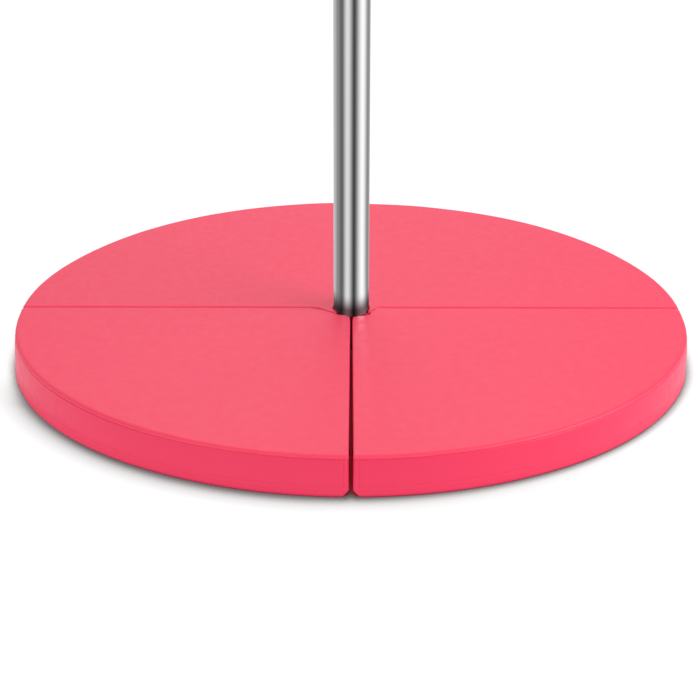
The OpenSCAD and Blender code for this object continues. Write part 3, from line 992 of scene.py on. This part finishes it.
def reflector(name, verts, faces, dim=None):
    """A one-sided studio panel round the object, seen only in reflections, banded by direction; with dim, it
    carries a painted reflection of the hole's walls near the pole.
    """
    obj = new_object(name, verts, faces)
    m, nt = empty_material(name + "_panels")
    tc = nt.nodes.new("ShaderNodeTexCoord")
    xyz = nt.nodes.new("ShaderNodeSeparateXYZ")
    nt.links.new(tc.outputs["Object"], xyz.inputs["Vector"])
    neg = node(nt, "ShaderNodeMath", operation="SUBTRACT")
    neg.inputs[0].default_value = -POLE_R / 2 * MM
    nt.links.new(xyz.outputs["Y"], neg.inputs[1])
    ang = node(nt, "ShaderNodeMath", operation="ARCTAN2")
    nt.links.new(xyz.outputs["X"], ang.inputs[0])
    nt.links.new(neg.outputs["Value"], ang.inputs[1])
    share = remap(nt, ang.outputs["Value"], -math.pi, math.pi)
    ramp = nt.nodes.new("ShaderNodeValToRGB")
    ramp.color_ramp.interpolation = "EASE"
    els = ramp.color_ramp.elements
    for i, (deg, val) in enumerate(PANELS):
        pos = (deg + 180) / 360
        el = els[0] if i == 0 else els[-1] if i == len(PANELS) - 1 else els.new(pos)
        el.position = pos
        el.color = (val, val, val, 1)
    nt.links.new(share.outputs["Result"], ramp.inputs["Fac"])
    em = nt.nodes.new("ShaderNodeEmission")
    nt.links.new(ramp.outputs["Color"], em.inputs["Color"])
    if dim:
        dist = node(nt, "ShaderNodeVectorMath", operation="LENGTH")
        flat = nt.nodes.new("ShaderNodeCombineXYZ")
        nt.links.new(xyz.outputs["X"], flat.inputs["X"])
        nt.links.new(xyz.outputs["Y"], flat.inputs["Y"])
        nt.links.new(flat.outputs["Vector"], dist.inputs[0])
        edge = remap(nt, dist.outputs["Value"], *dim)
        edge.interpolation_type = "SMOOTHSTEP"
        near = node(nt, "ShaderNodeMix", data_type="RGBA")
        near.blend_type = "MULTIPLY"
        near.inputs["Factor"].default_value = 1.0
        nt.links.new(ramp.outputs["Color"], near.inputs["A"])
        nt.links.new(mixed(nt, edge.outputs["Result"], HOLE_PAINTED_REFLECTION, (1, 1, 1)), near.inputs["B"])
        nt.links.new(near.outputs["Result"], em.inputs["Color"])
    one_sided(nt, em)
    light_only(obj, m, ("camera", "diffuse", "shadow", "transmission", "volume_scatter"))


RING_COUNT = 96
PANEL_FAR, PANEL_TOP = 4.5, 6.0
# the low panels lie just above the mat and turn down into the hole, close round the pole
PANEL_LOW = (T + 1.5) * MM
PANEL_TIGHT = (POLE_R + 1.5) * MM
PANEL_SLEEVE = 0.008
# distances from the pole's axis between which the painted reflection of the hole's walls fades out
HOLE_REFLECTION_FADE = (0.035, 0.12)


def reflectors():
    """Low panels over the mat and a wall of them round the studio, for the pole to mirror."""
    n = RING_COUNT
    around = ring_points(n)
    rings = ((PANEL_TIGHT, PANEL_LOW - PANEL_SLEEVE), (PANEL_TIGHT, PANEL_LOW), (PANEL_FAR, PANEL_LOW))
    verts = [(r * c, r * d, z) for r, z in rings for c, d in around]
    reflector("studio_low_panels", verts, ring_faces(n) + ring_faces(n, n), dim=HOLE_REFLECTION_FADE)
    verts = [(PANEL_FAR * c, PANEL_FAR * d, z) for z in (PANEL_LOW, PANEL_TOP) for c, d in around]
    reflector("studio_wall_panels", verts, ring_faces(n))


reflectors()

GLOW_FROM, GLOW_TO, GLOW_HEIGHT = 0.603, 0.665, 0.0006
GLOW_STRENGTH = 1.2


def floor_glow():
    """A narrow ring of light on the floor round the mat, unseen itself: what a white floor sends back up."""
    around = ring_points(RING_COUNT)
    verts = [(r * c, r * d, GLOW_HEIGHT) for r in (GLOW_FROM, GLOW_TO) for c, d in around]
    obj = new_object("studio_floor_glow", verts, ring_faces(RING_COUNT), smooth_shade=False)
    m, nt = empty_material("studio_floor_glow")
    em = node(nt, "ShaderNodeEmission", Strength=GLOW_STRENGTH)
    one_sided(nt, em)
    light_only(obj, m, ("camera", "glossy", "transmission", "shadow"))


floor_glow()

world = bpy.data.worlds.new("studio_world")
world.use_nodes = True
sky = world.node_tree.nodes["Background"]
sky.inputs["Color"].default_value = (1, 1, 1, 1)
sky.inputs["Strength"].default_value = 0.70
scene.world = world


def area(name, where, target, size, power):
    """A soft box at a place, turned to its target."""
    light = bpy.data.lights.new(name, "AREA")
    light.shape = "RECTANGLE"
    light.size, light.size_y = size
    light.energy = power
    obj = bpy.data.objects.new(name, light)
    obj.location = where
    obj.rotation_euler = (Vector(target) - Vector(where)).to_track_quat("-Z", "Y").to_euler()
    scene.collection.objects.link(obj)


area("key_softbox", (3.3, -1.3, 2.0), target=(0, 0, 0), size=(3.2, 2.4), power=84)
area("fill_softbox", (-2.6, -2.2, 1.1), target=(0, 0, 0), size=(2.2, 1.4), power=15)
area("back_softbox", (0.3, 2.6, 3.2), target=(0, 0.2, 0), size=(3.2, 1.6), power=29)

scene.view_settings.view_transform = "Standard"
scene.view_settings.look = "None"

# the camera's place, its tilt down from level and its roll
EYE_AT = (0, -2.802, 1.176)
EYE_DOWN, EYE_ROLL = math.radians(23.02), math.radians(0.12)
cam = bpy.data.cameras.new("camera")
cam.lens = 85.55
cam.sensor_width = 36.0
cam.shift_x = -0.0017
eye = bpy.data.objects.new("camera", cam)
eye.location = EYE_AT
tilt = Euler((math.pi / 2 - EYE_DOWN, 0, 0)).to_matrix()
eye.rotation_euler = (tilt @ Matrix.Rotation(EYE_ROLL, 3, "Z")).to_euler()
scene.collection.objects.link(eye)
scene.camera = eye
